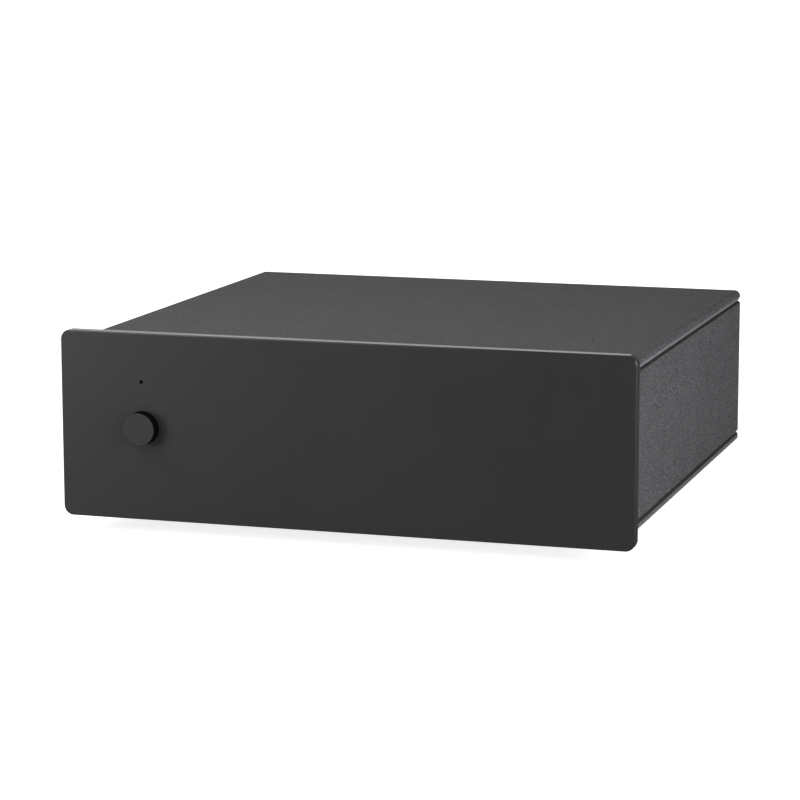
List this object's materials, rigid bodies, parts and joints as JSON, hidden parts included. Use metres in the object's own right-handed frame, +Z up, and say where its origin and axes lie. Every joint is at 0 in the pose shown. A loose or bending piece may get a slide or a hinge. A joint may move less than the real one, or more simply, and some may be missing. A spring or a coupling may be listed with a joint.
{
  "type": "phono preamp",
  "caption": "Flat metal-cased phono preamp: thick rounded front panel with one round power button and a pilot lamp, phono sockets and earth post at the back.",
  "frame": {"origin": "middle of the whole unit's box, on the surface that the feet stand on", "axes": "+Z up, front panel faces -Y, +X to the right of somebody facing the front"},
  "size_m": [0.206, 0.2046, 0.072],
  "materials": {
    "black_anodised": "satin black anodised",
    "powder_coat": "fine textured dark grey powder coat",
    "foot_plastic": "matte",
    "foot_rubber": "matte",
    "black_steel": "black oxide",
    "bright_steel": "zinc plated",
    "black_plastic": "moulded",
    "pale_plastic": "moulded",
    "board_green": "solder resist",
    "lamp_blue": "clear epoxy",
    "film_red": "moulded box",
    "can_black": "shrink sleeve",
    "resistor_blue": "lacquer",
    "aluminium": "extruded",
    "switch_blue": "moulded",
    "gold_plate": "gold plated",
    "white_plastic": "moulded",
    "red_plastic": "moulded",
    "nickel_plate": "nickel plated"
  },
  "bodies": {
    "case": {"front_panel": "black_anodised", "top_cover": "powder_coat", "bottom_cover": "powder_coat", "side_panel_left": "powder_coat", "side_panel_right": "powder_coat", "rear_panel": "powder_coat", "foot_bodies": "foot_plastic", "foot_pads": "foot_rubber", "foot_screws": "black_steel", "side_panel_screws": "black_steel", "rear_panel_screws": "black_steel", "top_cover_screws": "black_steel", "front_panel_screws": "black_steel", "board_standoffs": "bright_steel", "board_screws": "bright_steel", "switch_body": "black_plastic", "front_board": "board_green", "indicator_led": "lamp_blue", "front_board_brackets": "bright_steel", "board_link": "black_plastic", "main_board": "board_green", "film_capacitors": "film_red", "electrolytic_capacitors": "can_black", "relays": "black_plastic", "chips": "black_plastic", "resistors": "resistor_blue", "diodes": "black_plastic", "voltage_regulators": "black_plastic", "heat_sinks": "aluminium", "dip_housing_left": "switch_blue", "dip_housing_right": "switch_blue", "socket_shells": "gold_plate", "socket_contacts": "gold_plate", "socket_insulators_left": "white_plastic", "socket_insulators_right": "red_plastic", "socket_blocks": "black_plastic", "power_jack_body": "black_plastic", "power_jack_pin": "nickel_plate", "ground_stud": "bright_steel", "ground_lock_nut": "bright_steel"},
    "button": {"power_button": "black_anodised", "switch_plunger": "pale_plastic"},
    "earth_washer": {"ground_washer": "gold_plate"},
    "earth_nut": {"ground_nut": "gold_plate"},
    "lever_left_1": {"dip_lever_left_1": "white_plastic"},
    "lever_left_2": {"dip_lever_left_2": "white_plastic"},
    "lever_left_3": {"dip_lever_left_3": "white_plastic"},
    "lever_left_4": {"dip_lever_left_4": "white_plastic"},
    "lever_left_5": {"dip_lever_left_5": "white_plastic"},
    "lever_left_6": {"dip_lever_left_6": "white_plastic"},
    "lever_left_7": {"dip_lever_left_7": "white_plastic"},
    "lever_left_8": {"dip_lever_left_8": "white_plastic"},
    "lever_right_1": {"dip_lever_right_1": "white_plastic"},
    "lever_right_2": {"dip_lever_right_2": "white_plastic"},
    "lever_right_3": {"dip_lever_right_3": "white_plastic"},
    "lever_right_4": {"dip_lever_right_4": "white_plastic"},
    "lever_right_5": {"dip_lever_right_5": "white_plastic"},
    "lever_right_6": {"dip_lever_right_6": "white_plastic"},
    "lever_right_7": {"dip_lever_right_7": "white_plastic"},
    "lever_right_8": {"dip_lever_right_8": "white_plastic"}
  },
  "joints": [
    {"name": "button_press", "type": "slide", "parent": "case", "child": "button", "axis": [0, 1, 0], "range_m": [0, 0.0018], "stiffness_N_per_m": 1000, "springref_m": -0.001},
    {"name": "earth_washer_slide", "type": "slide", "parent": "case", "child": "earth_washer", "axis": [0, 1, 0], "range_m": [0, 0.0028]},
    {"name": "earth_nut_turn", "type": "hinge", "parent": "earth_washer", "child": "earth_nut", "pos_m": [0.022, 0.0974, 0.034], "axis": [0, 1, 0], "range_deg": [0, 1440.01]},
    {"name": "lever_left_1_slide", "type": "slide", "parent": "case", "child": "lever_left_1", "axis": [0, 1, 0], "range_m": [0, 0.002]},
    {"name": "lever_left_2_slide", "type": "slide", "parent": "case", "child": "lever_left_2", "axis": [0, 1, 0], "range_m": [0, 0.002]},
    {"name": "lever_left_3_slide", "type": "slide", "parent": "case", "child": "lever_left_3", "axis": [0, 1, 0], "range_m": [0, 0.002]},
    {"name": "lever_left_4_slide", "type": "slide", "parent": "case", "child": "lever_left_4", "axis": [0, 1, 0], "range_m": [0, 0.002]},
    {"name": "lever_left_5_slide", "type": "slide", "parent": "case", "child": "lever_left_5", "axis": [0, 1, 0], "range_m": [0, 0.002]},
    {"name": "lever_left_6_slide", "type": "slide", "parent": "case", "child": "lever_left_6", "axis": [0, 1, 0], "range_m": [0, 0.002]},
    {"name": "lever_left_7_slide", "type": "slide", "parent": "case", "child": "lever_left_7", "axis": [0, 1, 0], "range_m": [0, 0.002]},
    {"name": "lever_left_8_slide", "type": "slide", "parent": "case", "child": "lever_left_8", "axis": [0, 1, 0], "range_m": [0, 0.002]},
    {"name": "lever_right_1_slide", "type": "slide", "parent": "case", "child": "lever_right_1", "axis": [0, 1, 0], "range_m": [0, 0.002]},
    {"name": "lever_right_2_slide", "type": "slide", "parent": "case", "child": "lever_right_2", "axis": [0, 1, 0], "range_m": [0, 0.002]},
    {"name": "lever_right_3_slide", "type": "slide", "parent": "case", "child": "lever_right_3", "axis": [0, 1, 0], "range_m": [0, 0.002]},
    {"name": "lever_right_4_slide", "type": "slide", "parent": "case", "child": "lever_right_4", "axis": [0, 1, 0], "range_m": [0, 0.002]},
    {"name": "lever_right_5_slide", "type": "slide", "parent": "case", "child": "lever_right_5", "axis": [0, 1, 0], "range_m": [0, 0.002]},
    {"name": "lever_right_6_slide", "type": "slide", "parent": "case", "child": "lever_right_6", "axis": [0, 1, 0], "range_m": [0, 0.002]},
    {"name": "lever_right_7_slide", "type": "slide", "parent": "case", "child": "lever_right_7", "axis": [0, 1, 0], "range_m": [0, 0.002]},
    {"name": "lever_right_8_slide", "type": "slide", "parent": "case", "child": "lever_right_8", "axis": [0, 1, 0], "range_m": [0, 0.002]}
  ],
  "couplings": [
    {"joint": "earth_nut_turn", "follows": "earth_washer_slide", "rad_per_m": 8976}
  ]
}
